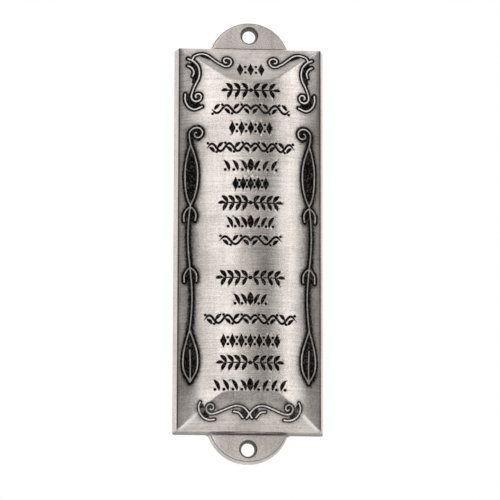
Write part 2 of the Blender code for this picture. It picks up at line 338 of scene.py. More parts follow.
def leaf(x, z, angle, length, width):
    """A pointed leaf: a stroke that swells in the middle and bends a little."""
    t = np.linspace(0, 1, 8)
    turn = math.radians(angle)
    along = length * t
    aside = 0.10 * length * np.sin(math.pi * t)
    return np.column_stack([x + along * math.cos(turn) - aside * math.sin(turn),
                            z + along * math.sin(turn) + aside * math.cos(turn),
                            0.04 + (width / 2 - 0.04) * np.sin(math.pi * t) ** 0.8])


def dot(x, z, radius):
    return np.array(((x, z, radius), (x + 0.01, z, radius)))


def laurel_row(z, half_length):
    """A stem with leaves in pairs, which point away from the middle of the row."""
    count = round((half_length - 1.0) / 1.9)
    strokes = [np.array(((0, z, 0.17), (half_length - 1.2, z, 0.17))), dot(0, z, 0.5)]
    for step in range(count):
        x = 0.8 + step * (half_length - 1.6) / count
        strokes += [leaf(x, z + 0.1, 48, 2.3, 1.0), leaf(x, z - 0.1, -60, 2.2, 0.96)]
    return strokes + [leaf(half_length - 1.8, z, -4, 1.8, 0.85)]


def slant_row(z, half_length):
    """Separate leaves that lean away from the middle, each over a berry."""
    count = max(1, round((half_length - 1.1) / 2.1))
    spacing = (half_length - 1.1) / count
    strokes = [leaf(0, z - 1.6, 90, 3.3, 0.95)]
    for step in range(count):
        x = 1.05 + step * spacing
        strokes += [leaf(x, z - 1.5, 64, 3.1, 0.92), dot(x + 1.05, z - 1.2, 0.36)]
    return strokes


def vine_row(z, half_length):
    """A waving stem with a leaf in each of its bends."""
    bends = max(2, round(half_length / 2.4))
    bend = half_length / bends
    x = np.linspace(0, half_length, bends * 8 + 1)
    swell = 0.29 * np.clip((half_length - x) / 1.2 + 0.3, 0, 1)
    strokes = [np.column_stack([x, z + 1.0 * np.sin(math.pi * x / bend), swell])]
    for step in range(bends):
        rise = -1 if step % 2 else 1
        strokes += [leaf((step + 0.20) * bend, z - rise * 1.25, rise * 46, 1.9, 0.86),
                    dot((step + 0.95) * bend, z + rise * 1.15, 0.33)]
    return strokes


def lozenge_row(z, half_length):
    """Tall lozenges with two beads between each two."""
    count = max(1, round(half_length / 2.7))
    spacing = half_length / (count + 0.3)
    swell = np.array((0.06, 0.42, 0.80, 0.42, 0.06))
    strokes = []
    for step in range(count + 1):
        x = step * spacing
        strokes.append(np.column_stack([np.full(5, x), z + np.linspace(-1.7, 1.7, 5), swell]))
        if step < count:
            strokes += [dot(x + spacing / 2, z + rise, 0.36) for rise in (-0.85, 0.85)]
    return strokes


# Each row: height of its middle, half its length, and what it is made of
MARK_ROWS = (
    (43.1, 3.5, lozenge_row), (37.4, 7.5, laurel_row), (32.5, 9.8, vine_row),
    (27.6, 5.4, lozenge_row), (22.6, 10.9, vine_row), (18.0, 7.6, slant_row),
    (13.2, 4.4, lozenge_row), (8.3, 8.2, laurel_row), (3.4, 6.4, slant_row),
    (-1.4, 7.7, vine_row), (-10.9, 8.7, laurel_row), (-16.3, 4.6, slant_row),
    (-21.5, 11.4, vine_row), (-27.0, 7.4, lozenge_row), (-32.5, 8.5, laurel_row),
    (-38.1, 10.0, slant_row),
)


def engraved_marks():
    """The rows' right halves, each with its mirror image."""
    return mirrored([stroke for z, half_length, row in MARK_ROWS for stroke in row(z, half_length)])


# ------------------------ the casting

def arch_depth(x):
    share = np.minimum(np.abs(x) / EDGE_HALF_WIDTH, 1)
    return EDGE_DEPTH + (CREST_DEPTH - EDGE_DEPTH) * (1 - share ** ARCH_POWER)


def facet_share(x, z):
    """How far up an end facet a point is, from 0 at the edge to 1 at the crease."""
    run = EDGE_HALF_HEIGHT - np.abs(z)
    lean = np.where(z > 0, TOP_CREASE_LEAN, FOOT_CREASE_LEAN)
    bend = np.where(z > 0, TOP_CREASE_BEND, FOOT_CREASE_BEND)
    full = (CREST_DEPTH - EDGE_DEPTH) / END_SLOPE
    over = np.maximum(lean * (EDGE_HALF_WIDTH - EDGE_ROUND - np.abs(x)), 0.3) - full
    return run / (full + (over - np.sqrt(over ** 2 + bend ** 2)) / 2 + bend ** 2 / 50)


def hip_gap(x, z):
    """How far the barrel stands above the end facets: zero along the creases."""
    share = facet_share(x, z)
    rise = arch_depth(x) - EDGE_DEPTH
    swell = HIP_SWELL * 4 * share * np.maximum(1 - share, 0)
    return rise * (1 - share - swell)


def base_depth(x, z):
    """Depth of the plain front: a barrel that two end facets cut off, softly creased."""
    gap = hip_gap(x, z)
    soft = np.maximum(CREASE_SOFTNESS - np.abs(gap), 0) / CREASE_SOFTNESS
    return arch_depth(x) - np.maximum(gap, 0) - soft ** 2 * CREASE_SOFTNESS / 4


def relief(line, channel, mark):
    """Height above the plain front, from the distances to lines, channels and marks."""
    ground = np.interp(channel, (-CHANNEL_DRAFT, 0), (-CHANNEL_DEPTH, 0))
    ridge = np.interp(line, *zip(*LINE_PROFILE), right=-1)
    engraved = np.interp(mark, (-MARK_DRAFT, 0), (-MARK_DEPTH, 0))
    return np.minimum(np.maximum(ground, ridge), engraved)


def half_outline(half_width, half_height, depth):
    """The left half of a ring round the body, from its top centre to its bottom centre.

    depth is one number, or a function of x and z.
    """
    corner = BODY_CORNER
    top_x = np.linspace(0, half_width - corner, 28)
    side_z = np.linspace(half_height - corner, corner - half_height, 150)
    turn = np.radians(np.linspace(90, 0, 5)[1:-1])
    arc_x = half_width - corner + corner * np.cos(turn)
    arc_z = half_height - corner + corner * np.sin(turn)
    x = -np.concatenate([top_x, arc_x, np.full(len(side_z), half_width), arc_x[::-1], top_x[::-1]])
    z = np.concatenate([np.full(len(top_x), half_height), arc_z, side_z, -arc_z[::-1],
                        np.full(len(top_x), -half_height)])
    y = -depth(x, z) if callable(depth) else np.full(len(x), -float(depth))
    return np.column_stack([x, y, z])


def body_rings():
    """Rings down the body's wall, from the softened front edge to the back."""
    front = half_outline(EDGE_HALF_WIDTH - EDGE_ROUND, EDGE_HALF_HEIGHT - EDGE_ROUND, base_depth)
    corner = half_outline(EDGE_HALF_WIDTH, EDGE_HALF_HEIGHT, EDGE_DEPTH)

    def wall(depth, tuck=0.0):
        share = 1 - depth / EDGE_DEPTH
        return half_outline(EDGE_HALF_WIDTH + SIDE_DRAFT * share - tuck,
                            EDGE_HALF_HEIGHT + END_DRAFT * share - tuck, depth)

    turned_over = wall(EDGE_DEPTH - EDGE_ROUND)
    rings = [(1 - t) ** 2 * front + 2 * t * (1 - t) * corner + t ** 2 * turned_over
             for t in (0, 0.25, 0.5, 0.75, 1)]
    return rings + [wall(depth) for depth in (3.2, 2.2, 1.2, 0.15)] + [wall(0, tuck=0.12)]


def relief_fields():
    """The raised lines, and a function for distances to the lines, channels and marks."""
    channels = mirrored(left_lines())
    lines = [stroke * (1, 1, 0) for stroke in channels]
    channels += mirrored(left_recesses())
    marks = engraved_marks()

    def fields_at(points):
        return (stroke_field(points, lines), stroke_field(points, channels),
                stroke_field(points, marks))
    return lines, fields_at


def offset_line(line, distance):
    """A copy of a line at a distance to its left, or to its right if that is negative."""
    along = np.gradient(line[:, :2], axis=0)
    along /= np.maximum(np.linalg.norm(along, axis=1), 1e-9)[:, None]
    return line[:, :2] + distance * np.column_stack([-along[:, 1], along[:, 0]])


def front_triangles(lines, fields_at, rim):
    """Triangles over the left half of the front, with an edge along every edge of the relief."""
    half_width, half_height = EDGE_HALF_WIDTH - EDGE_ROUND, EDGE_HALF_HEIGHT - EDGE_ROUND
    xs = np.linspace(-half_width, 0, round(half_width / CONTOUR_STEP) + 1)
    zs = np.linspace(-half_height, half_height, round(2 * half_height / CONTOUR_STEP) + 1)
    grid = np.stack(np.meshgrid(xs, zs), axis=-1)
    fields = fields_at(grid.reshape(-1, 2))
    line, channel, mark = (field.reshape(grid.shape[:2]) for field in fields)
    segments = [contour(line, xs, zs, LINE_PROFILE[-1][0])]
    segments += [contour(channel, xs, zs, level) for level in (-CHANNEL_DRAFT, 0, GUARD)]
    segments += [contour(mark, xs, zs, level) for level in (-MARK_DRAFT, 0, GUARD)]
    crease = hip_gap(grid[::4, ::4, 0], grid[::4, ::4, 1])
    segments += [contour(crease, xs[::4], zs[::4], level)
                 for level in (-CREASE_SOFTNESS, 0, CREASE_SOFTNESS)]
    for stroke in lines:
        for offset in (0, LINE_PROFILE[1][0], -LINE_PROFILE[1][0]):
            chain = offset_line(stroke, offset)
            segments.append(np.stack([chain[:-1], chain[1:]], axis=1))
    segments = np.concatenate(segments)

    def inside(points):
        x, z = np.abs(points[..., 0]), np.abs(points[..., 1])
        corner = np.hypot(np.maximum(x - half_width + BODY_CORNER, 0),
                          np.maximum(z - half_height + BODY_CORNER, 0))
        return (corner < BODY_CORNER - 0.05) & (points[..., 0] < 1)

    segments = np.round(segments[inside(segments).all(axis=1)], 2)
    x = np.arange(-half_width + SURFACE_STEP, -SURFACE_STEP / 2, SURFACE_STEP)
    z = np.linspace(-half_height, half_height, 151)[1:-1]
    cells = np.stack(np.meshgrid(x, z), axis=-1).reshape(-1, 2)
    _, cell_channel, cell_mark = fields_at(cells)
    clear = ((cell_channel > 0.35) & (cell_mark > 0.35) & inside(cells)
             & (np.abs(hip_gap(*cells.T)) > 2 * CREASE_SOFTNESS))
    middle = np.column_stack([np.zeros(len(z)), z])

    count = len(rim)
    points = np.concatenate([rim[:, [0, 2]], middle, cells[clear], segments.reshape(-1, 2)])
    points, index = np.unique(np.round(points, 5), axis=0, return_inverse=True)
    index = index.reshape(-1)
    edges = index[-2 * len(segments):].reshape(-1, 2)
    chain = index[:count]
    edges = np.concatenate([edges, np.column_stack([chain, np.roll(chain, -1)])])
    edges = np.unique(np.sort(edges[edges[:, 0] != edges[:, 1]], axis=1), axis=0)
    flat, _, faces, *_ = delaunay_2d_cdt([Vector(point) for point in points.tolist()],
                                         edges.tolist(), [], 0, 1e-5)
    flat = np.array([tuple(point) for point in flat])
    flat[np.abs(flat[:, 0]) < 1e-4, 0] = 0
    faces = np.array(faces)
    return flat, faces[flat[faces, 0].mean(axis=1) < 0]


def build_body():
    """The body's solid outside, with its relief, before the ears and the hollow."""
    lines, fields_at = relief_fields()
    rings = body_rings()
    flat, faces = front_triangles(lines, fields_at, rings[0])
    height = relief(*fields_at(flat))
    front = np.column_stack([flat[:, 0], -base_depth(*flat.T) - height, flat[:, 1]])
    count = len(rings[0])
    vertices = np.vstack([front] + rings)
    faces = faces.tolist()
    for row in range(len(rings) - 1):
        first = len(front) + row * count
        faces += [(first + step, first + step + 1, first + count + step + 1, first + count + step)
                  for step in range(count - 1)]
    total = len(vertices)
    faces += [tuple(total + corner for corner in reversed(face)) for face in faces]
    vertices = np.vstack([vertices, vertices * np.array((-1, 1, 1))])
    return solid_from("casting", vertices, faces), fields_at


def ear_ring(side, inset, depth):
    """The ear's outline, drawn in by an inset, with a concave fillet where it meets the body."""
    centre = HALF_CASE - EAR_RADIUS
    fillet_z = HALF_BODY + EAR_FILLET
    fillet_x = math.sqrt((EAR_RADIUS + EAR_FILLET) ** 2 - (fillet_z - centre) ** 2)
    lean = math.atan2(fillet_z - centre, fillet_x)
    turn = np.linspace(-math.pi / 2, lean - math.pi, 9)
    fillet = np.column_stack([fillet_x + (EAR_FILLET + inset) * np.cos(turn),
                              fillet_z + (EAR_FILLET + inset) * np.sin(turn)])
    turn = np.linspace(lean, math.pi / 2, 40)
    half = np.column_stack([(EAR_RADIUS - inset) * np.cos(turn),
                            centre + (EAR_RADIUS - inset) * np.sin(turn)])
    root = np.array([(fillet_x, HALF_BODY - 3)])
    right = np.vstack([root, fillet[:-1], half])
    ring = np.vstack([right, right[-2::-1] * (-1, 1)])
    return np.column_stack([ring[:, 0], np.full(len(ring), -depth), side * ring[:, 1]])


def build_ear(side):
    """An ear with its front edge rounded over."""
    start, middle, end = np.array(EAR_EDGE)
    rounding = [(1 - t) ** 2 * start + 2 * t * (1 - t) * middle + t ** 2 * end
                for t in (0, 0.25, 0.5, 0.75, 1)]
    rings = [(0.12, 0.0), (0.03, 0.15), (0.2, 1.0)] + [tuple(step) for step in rounding]
    rings += [(1.25, EAR_THICKNESS)]
    return loft("ear", [ear_ring(side, inset, depth) for inset, depth in rings])


def build_ear_hole(side):
    """The tapered hole's cutter, flared where it leaves each face."""
    back, front = EAR_HOLE_BACK_RADIUS, EAR_HOLE_FRONT_RADIUS
    profile = [(-1.0, back + 0.6), (-0.02, back), (0.1, back - 0.12), (0.5, back - 0.16),
               (1.6, back + 0.10), (2.1, front - 0.36), (2.28, front - 0.25),
               (2.42, front - 0.05), (4.0, front + 4)]
    turn = np.linspace(0, 2 * math.pi, 48, endpoint=False)
    rings = [np.column_stack([radius * np.cos(turn), np.full(len(turn), -depth),
                              side * EAR_HOLE_Z + radius * np.sin(turn)])
             for depth, radius in profile]
    return loft("ear_hole", rings)


def build_ear_groove(side):
    """The narrow hand-cut groove along an ear's root."""
    root_z = HALF_BODY - END_DRAFT * EAR_THICKNESS / EDGE_DEPTH
    above = -EAR_THICKNESS - 0.3
    rings = []
    for x in np.linspace(-9.6, 9.6, 25):
        floor = -EAR_THICKNESS + 0.16 * math.cos(x / 9.6 * math.pi / 2) ** 0.5 + 0.01
        rings.append(np.array([(x, above, side * (root_z - 0.3)),
                               (x, above, side * (root_z + 0.30)),
                               (x, floor, side * (root_z + 0.06)),
                               (x, floor, side * (root_z - 0.3))]))
    return loft("ear_groove", rings)


def build_hollow():
    """The CAD's hollow, rebate and screw pilots as one cutter, run on past the back."""
    shape = bmesh.new()
    shape.from_mesh(frame["nodes"]["case_front"].data)
    bmesh.ops.remove_doubles(shape, verts=shape.verts, dist=CAD_WELD)

    def is_inner(face):
        corners = [corner.co / MM for corner in face.verts]
        centre = face.calc_center_median() / MM
        within = all(abs(corner.x) < REBATE_HALF_WIDTH and abs(corner.z) < REBATE_HALF_HEIGHT
                     for corner in corners)
        recessed = any(corner.y < -0.01 for corner in corners)
        return within and recessed and -centre.y < float(base_depth(centre.x, centre.z)) - 1

    outer = [face for face in shape.faces if not is_inner(face)]
    bmesh.ops.delete(shape, geom=outer, context="FACES")
    rim = [edge for edge in shape.edges if edge.is_boundary]
    raised = bmesh.ops.extrude_edge_only(shape, edges=rim)["geom"]
    for item in raised:
        if isinstance(item, bmesh.types.BMVert):
            item.co.y = HOLLOW_RUN_ON * MM
    bmesh.ops.holes_fill(shape, edges=[edge for edge in shape.edges if edge.is_boundary])
    bmesh.ops.recalc_face_normals(shape, faces=shape.faces)
    mesh = bpy.data.meshes.new("hollow")
    shape.to_mesh(mesh)
    shape.free()
    return new_object("hollow", mesh)


def build_casting():
    body, fields_at = build_body()
    for side in (1, -1):
        combine(body, build_ear(side), "UNION")
        combine(body, build_ear_hole(side), "DIFFERENCE")
        combine(body, build_ear_groove(side), "DIFFERENCE")
    combine(body, build_hollow(), "DIFFERENCE")
    shade_by_angle(body, 25, lambda edge: abs(edge.verts[0].co.z) > (HALF_BODY - 0.4) * MM)
    mark_finish(body, fields_at)
    return body


def mark_finish(item, fields_at):
    """Stores, at each vertex, how dark the patina and the painted shade lie, and how far the metal
    is rubbed bright, with a painted highlight along the creases.
    """
    x, y, z = vertices_of(item).T
    depth = -y
    base = base_depth(x, z)
    front = ((np.abs(x) < EDGE_HALF_WIDTH - 0.1) & (np.abs(z) < EDGE_HALF_HEIGHT - 0.1)
             & (depth > base - 0.6))
    line, channel, mark = fields_at(np.column_stack([x, z]))
    in_channel = 1 - smooth_step(channel, -0.05, 2 * GUARD)
    on_line = 1 - smooth_step(line, 0.09, 0.22)
    border = np.hypot(np.maximum(np.abs(np.abs(x) - 15.0) - 0.9, 0),
                      np.maximum(np.abs(z + 4.5) - 31, 0))
    # Patina that spreads out from the channels and round the side scrollwork.
    halo_and_shade = 0.42 * np.exp(-np.maximum(channel, 0) / 0.35) + 0.54 * np.exp(-border / 2.4)
    # Painted shade on the end facets towards their creases, less of it near the lower corners, and
    # on the barrel just above the lower creases towards the sides.
    share = facet_share(x, z)
    corner = smooth_step(np.abs(x), 9.0, 16.0) * (z < 0)
    halo_and_shade += (np.where(z > 0, 0.14, 0.48) * smooth_step(share, 0.35, 1.0) * (share < 1.02)
             * (1 - 0.85 * corner))
    halo_and_shade += (0.40 * smooth_step(np.abs(x), 11.5, 15.5) * smooth_step(-z, 32, 40)
             * smooth_step(share, 1.0, 1.06))
    fill = np.where(z < -42, 0.95, 1.0)
    patina_and_shade = np.maximum(in_channel * (1 - on_line) * fill, halo_and_shade)
    patina_and_shade = np.maximum(patina_and_shade, 1 - smooth_step(mark, -0.02, GUARD + 0.01))
    inner = ((np.abs(x) < REBATE_HALF_WIDTH + 0.1) & (np.abs(z) < REBATE_HALF_HEIGHT + 0.1)
             & (depth < base - 1) & (depth > 0.01))
    patina_and_shade = np.where(front, patina_and_shade, np.where(inner, HOLLOW_PATINA, 0.0))
    # Painted shade: a dark line along the middle of each ear's rounded front edge.
    for side in (1, -1):
        line = ear_ring(side, EAR_LINE_INSET, EAR_LINE_DEPTH)[:, None]
        away = np.linalg.norm(line - np.column_stack([x, y, z]), axis=2)
        patina_and_shade[(away < 0.02).any(axis=0)] = EAR_BEVEL_SHADE
    # Along the creases: rubbed-bright wear that is also a painted highlight, strongest near the
    # lower corners.
    gap = hip_gap(x, z)
    creased = (0.08 + 0.92 * corner) * np.exp(-(gap / np.where(gap > 0, 0.42, 0.15)) ** 2)
    wear_and_highlight = np.where(front, np.maximum(on_line, creased), 0.0)
    set_attribute(item, "patina_and_shade", patina_and_shade)
    set_attribute(item, "wear_and_highlight", wear_and_highlight)


# ------------------------ back cover, screws, scroll

def build_cover():
    """The CAD's cover plate with its sheared edges and countersinks softened."""
    mesh = frame["nodes"]["back_cover"].data.copy()
    mesh.name = "cover_plate"
    shape = bmesh.new()
    shape.from_mesh(mesh)
    bmesh.ops.remove_doubles(shape, verts=shape.verts, dist=CAD_WELD)
    bmesh.ops.dissolve_limit(shape, angle_limit=math.radians(2), verts=shape.verts,
                             edges=shape.edges)
    sharp = [edge for edge in shape.edges if edge.calc_face_angle(0) > math.radians(35)]
    bmesh.ops.bevel(shape, geom=sharp, offset=0.13 * MM, segments=3, profile=0.5,
                    affect="EDGES", clamp_overlap=True)
    bmesh.ops.triangulate(shape, faces=[face for face in shape.faces if len(face.verts) > 4])
    shape.to_mesh(mesh)
    shape.free()
    mesh.shade_smooth()
    return new_object("cover_plate", mesh)


THREAD_PITCH = 0.45
THREAD_DEPTH = 0.17
SHANK_RADIUS = 1.0
SLOT_HALF_WIDTH = 0.24
SLOT_DEPTH = 0.44
SCREW_AROUND = 40


def build_screw(name, node):
    """A slotted countersunk screw with its thread, from the CAD screw's own box."""
    low, high = (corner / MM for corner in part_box(node))
    head = (high.z - low.z) / 2
    centre_z = (high.z + low.z) / 2
    recess, length, shank = -high.y, -low.y, SHANK_RADIUS
    neck = recess + head - shank
    profile = [(recess + 0.01, 0.0), (recess, 0.7), (recess, 1.3), (recess, head - 0.12),
               (recess + 0.03, head - 0.04), (recess + 0.09, head - 0.03), (neck, shank - 0.02)]
    thread = [(depth, None) for depth in np.arange(neck + 0.1, length - 0.4, THREAD_PITCH / 6)]
    profile += thread + [(length - 0.3, shank - 0.22), (length, shank - 0.5), (length, 0.0)]
    turn = np.linspace(0, 2 * math.pi, SCREW_AROUND, endpoint=False)
    rings = []
    for depth, radius in profile:
        if radius is None:
            phase = (depth / THREAD_PITCH - turn / (2 * math.pi)) % 1
            radius = shank - THREAD_DEPTH * np.clip(np.abs(2 * phase - 1) * 1.3, 0, 1)
        rings.append(np.column_stack([radius * np.cos(turn), np.full(SCREW_AROUND, -depth),
                                      centre_z + radius * np.sin(turn)]))
    screw = loft(name, rings)
    across, half_slot, floor = head + 0.5, SLOT_HALF_WIDTH, recess + SLOT_DEPTH
    section = [(-recess + 0.5, half_slot + 0.5), (-recess + 0.02, half_slot + 0.06),
               (-recess - 0.06, half_slot), (-floor + 0.05, half_slot), (-floor, half_slot - 0.06)]
    section += [(y, -z) for y, z in reversed(section)]
    slot = loft("slot", [np.array([(x, y, centre_z + z) for y, z in section])
                         for x in (-across, 0, across)])
    combine(screw, slot, "DIFFERENCE")
    shade_by_angle(screw, 40)
    return screw


SCROLL_HALF = 35.0
SCROLL_TURNS = 7
SCROLL_CORE = 0.6
SCROLL_RADIUS = 2.25
PARCHMENT = 0.12


def build_scroll():
    """A parchment strip rolled in a spiral, its ends trimmed by hand and slightly uneven."""
    centre_y = (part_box("scroll_sleeve")[0].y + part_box("scroll_sleeve")[1].y) / 2 / MM
    count = SCROLL_TURNS * 40 + 1
    turn = np.linspace(0, SCROLL_TURNS, count)
    pitch = (SCROLL_RADIUS - PARCHMENT / 2 - SCROLL_CORE) / SCROLL_TURNS
    middle = SCROLL_CORE + pitch * turn
    trim = 0.10 + 0.09 * np.sin(5.1 * turn + 0.8) + 0.07 * np.sin(11.3 * turn)
    heights = np.concatenate([[-1.0, -0.998], np.linspace(-0.96, 0.96, 17), [0.998, 1.0]])
    rows = []
    for height in heights:
        half = SCROLL_HALF - np.maximum(trim, 0) * (1 if height > 0 else 0.7)
        thin = 0.7 if abs(height) == 1 else 1.0
        ripple = 0.012 * np.sin(2.3 * turn + 9 * height)
        for side in (1, -1):
            radius = middle + ripple + side * thin * PARCHMENT / 2
            angle = 2 * math.pi * turn
            rows.append(np.column_stack([radius * np.cos(angle), centre_y + radius * np.sin(angle),
                                         half * height]))
    outer, inner = rows[0::2], rows[1::2]
    rings = [np.vstack([outside, inside[::-1]]) for outside, inside in zip(outer, inner)]
    size = 2 * count
    faces = ring_faces(len(rings), size)
    for first in (0, (len(rings) - 1) * size):
        faces += [(first + step, first + step + 1, first + size - 2 - step, first + size - 1 - step)
                  for step in range(count - 1)]
    roll = solid_from("rolled_parchment", np.vstack(rings), faces)
    shade_by_angle(roll, 50)
    return roll


SLEEVE_WALL = 0.2
LAP_DEPTH, LAP_TURN, LAP_SPREAD = 0.05, math.pi * 0.62, 0.11


def build_sleeve():
    """A clear film tube with rounded rims and a narrow lapped seam along its back."""
    low, high = (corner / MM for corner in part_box("scroll_sleeve"))
    centre_y, outer, half = (low.y + high.y) / 2, (high.x - low.x) / 2, high.z
    inner, middle = outer - SLEEVE_WALL, outer - SLEEVE_WALL / 2
    turn = np.linspace(0, 2 * math.pi, 96, endpoint=False)
    lap = LAP_DEPTH * np.exp(-((turn - LAP_TURN) / LAP_SPREAD) ** 4)
    top, rim, corner = half - 0.06, half - 0.01, 0.04
    profile = [(outer, height) for height in np.linspace(-top, top, 13)]
    profile += [(outer - corner, rim), (middle, half), (inner + corner, rim)]
    profile += [(inner, height) for height in np.linspace(top, -top, 13)]
    profile += [(inner + corner, -rim), (middle, -half), (outer - corner, -rim)]
    rings = []
    for radius, height in profile:
        reach = radius - lap * (radius > middle)
        rings.append(np.column_stack([reach * np.cos(turn), centre_y + reach * np.sin(turn),
                                      np.full(len(turn), height)]))
    faces = ring_faces(len(rings), len(turn), closed=True)
    tube = solid_from("film_tube", np.vstack(rings), faces)
    tube.data.shade_smooth()
    return tube


# ------------------------ materials

class Nodes:
    """A node tree, with short calls for the nodes that this script uses."""

    def __init__(self, tree):
        self.tree = tree

    def link(self, source, target):
        if isinstance(source, bpy.types.NodeSocket):
            self.tree.links.new(source, target)
        else:
            target.default_value = source

    def node(self, kind, *sources, **settings):
        made = self.tree.nodes.new("ShaderNode" + kind)
        for key, value in settings.items():
            setattr(made, key, value)
        for source, target in zip(sources, made.inputs):
            self.link(source, target)
        return made

    def math(self, operation, *sources, clamp=False):
        return self.node("Math", *sources, operation=operation, use_clamp=clamp).outputs[0]

    def times(self, *sources):
        return functools.reduce(functools.partial(self.math, "MULTIPLY"), sources)

    def plus(self, *sources):
        return functools.reduce(functools.partial(self.math, "ADD"), sources)

    def greatest(self, *sources):
        return functools.reduce(functools.partial(self.math, "MAXIMUM"), sources)

    def mix(self, share, first, second, blend="MIX"):
        made = self.node("Mix", share, data_type="RGBA", blend_type=blend)
        self.link(first, made.inputs[6])
        self.link(second, made.inputs[7])
        return made.outputs[2]


class Shader(Nodes):
    """The nodes of a material, which end in its Principled BSDF."""

    def __init__(self, name, **surface):
        self.material = bpy.data.materials.new(name)
        self.material.use_nodes = True
        super().__init__(self.material.node_tree)
        self.surface = self.tree.nodes["Principled BSDF"]
        for socket, value in surface.items():
            self.surface.inputs[socket.replace("_", " ")].default_value = value
        self.place = self.node("TexCoord").outputs["Object"]

    def stretched(self, x, y, z):
        """The object's coordinates, scaled to cycles per metre along each axis."""
        return self.node("VectorMath", self.place, (x, y, z), operation="MULTIPLY").outputs[0]

    def noise(self, scales, detail=2.0, roughness=0.5, distortion=0.0):
        made = self.node("TexNoise", self.stretched(*scales))
        made.inputs["Scale"].default_value = 1.0
        made.inputs["Detail"].default_value = detail
        made.inputs["Roughness"].default_value = roughness
        made.inputs["Distortion"].default_value = distortion
        return made.outputs["Fac"]

    def spread(self, value, low, high, to_low=0.0, to_high=1.0):
        """A smooth step from one output value to another as the value goes from low to high."""
        return self.node("MapRange", value, low, high, to_low, to_high,
                         interpolation_type="SMOOTHSTEP").outputs[0]

    def attribute(self, name):
        return self.node("Attribute", attribute_name=name).outputs["Fac"]

    def set(self, socket, source):
        self.link(source, self.surface.inputs[socket])

    def bump(self, height, distance):
        made = self.node("Bump", 1.0, distance)
        self.link(height, made.inputs["Height"])
        self.set("Normal", made.outputs[0])


def antique_pewter():
    """Brushed cast pewter with black patina left in its recesses, painted shade on its foot, sides,
    edges, ear bevels and creases, and a painted highlight along the creases.
    """
    s = Shader("antique_pewter", Metallic=1.0)
    hairlines = s.plus(s.times(s.noise((70, 70, 2700), detail=2), 0.5),
                       s.times(s.noise((420, 420, 5200), detail=2, distortion=0.8), 0.5))
    streaks = s.noise((1300, 1300, 80), detail=2)
    clouds = s.noise((150, 150, 75), detail=3, roughness=0.55)
    grain = s.noise((3300, 3300, 3300), detail=3, roughness=0.7)
    pits = s.noise((2100, 2100, 2100), detail=1)
    patina_and_shade, wear_and_highlight = s.attribute("patina_and_shade"), s.attribute("wear_and_highlight")

    axes = s.node("SeparateXYZ", s.place).outputs
    across = s.math("ABSOLUTE", axes[0])
    height = s.math("ABSOLUTE", axes[2])
    from_hole = s.node("VectorMath", s.node("CombineXYZ", across, 0, height).outputs[0],
                       (0, 0, EAR_HOLE_Z * MM), operation="DISTANCE").outputs[1]

    def within(value, low, high, to_low=0.0, to_high=1.0):
        return s.spread(value, low * MM, high * MM, to_low, to_high)

    # Black film in the ear holes; black patina with painted shade along the ears' roots; painted
    # shade on the body's downward-facing foot wall
    hole = s.times(within(from_hole, 2.15, 2.45, 1, 0), 0.72)
    root = s.times(within(height, 49.45, 49.62), within(height, 49.70, 50.15, 1, 0),
                   within(axes[1], -3.2, -2.6), within(across, 8.6, 9.6, 0.8, 0))
    foot_shade = s.times(within(axes[2], -49.50, -49.20, 0.5, 0), within(axes[1], -4.5, -4.2),
                   within(height, 49.9, 50.2, 1, 0))
    dark = s.greatest(patina_and_shade, foot_shade, hole, root)
    broken = s.times(s.math("SUBTRACT", pits, 0.5), 0.5, s.spread(dark, 0.05, 0.5))
    dark = s.math("ADD", dark, broken, clamp=True)

    # Thinner film in the pits; painted shade towards the sides and a painted dark line just inside
    # the front's edges
    spots = s.times(s.spread(pits, 0.70, 0.80), 0.16)
    flank_shade = s.times(within(across, 16.4, 18.0, 0.0, 0.50), within(axes[1], -4.7, -4.3, 1, 0))
    edge = s.times(within(across, EDGE_HALF_WIDTH - 0.62, EDGE_HALF_WIDTH - 0.34, 0.0, 0.86),
                   within(axes[1], -4.5, -4.25, 1, 0),
                   within(across, EDGE_HALF_WIDTH - 0.12, EDGE_HALF_WIDTH, 1, 0))
    # film: the patina film together with the painted shade on the foot, the ears' roots, the sides
    # and the front's edges
    film = s.greatest(dark, edge, s.plus(spots, flank_shade))
    film = s.math("SUBTRACT", film, s.times(wear_and_highlight, 0.3), clamp=True)

    # The front is brushed; the walls and the back keep the grain of the mould
    as_cast = within(axes[1], -4.35, -4.05)
    brushed = s.mix(as_cast, hairlines, grain)
    tone = s.plus(s.times(brushed, 0.32), s.times(clouds, 0.26), s.times(grain, 0.34),
                  s.times(streaks, 0.08))
    metal = s.mix(s.spread(tone, 0.395, 0.61), (0.45, 0.412, 0.385, 1), (0.80, 0.738, 0.694, 1))
    # Rubbed-bright metal on the line crests, and a painted highlight along the creases.
    metal = s.mix(wear_and_highlight, metal, (0.97, 0.92, 0.885, 1))
    s.set("Base Color", s.mix(film, metal, (0.006, 0.005, 0.0045, 1)))
    rough = s.plus(s.times(hairlines, 0.14), s.times(clouds, 0.10),
                   s.spread(film, 0.2, 1.0, 0.15, 0.46), s.times(as_cast, 0.10))
    s.set("Roughness", s.math("SUBTRACT", rough, s.times(wear_and_highlight, 0.05)))
    s.bump(s.plus(s.times(brushed, 0.5), s.times(grain, 0.5)), 0.022 * MM)
    return s.material


def cover_sheet():
    """Satin sheet metal, drawn lengthways, with a few scuffs."""
    s = Shader("cover_sheet", Metallic=1.0)
    lines = s.noise((5600, 900, 190), detail=3, roughness=0.6)
    clouds = s.noise((140, 140, 70), detail=2)
    scuffs = s.noise((900, 900, 2600), detail=1, distortion=1.5)
    tone = s.plus(s.times(lines, 0.75), s.times(clouds, 0.25))
    metal = s.mix(s.spread(tone, 0.36, 0.64), (0.38, 0.37, 0.355, 1), (0.60, 0.59, 0.57, 1))
    s.set("Base Color", s.mix(s.spread(scuffs, 0.68, 0.78, 0, 0.35), metal, (0.72, 0.71, 0.69, 1)))
    s.set("Roughness", s.spread(tone, 0.25, 0.75, 0.30, 0.46))
    s.bump(lines, 0.010 * MM)
    return s.material


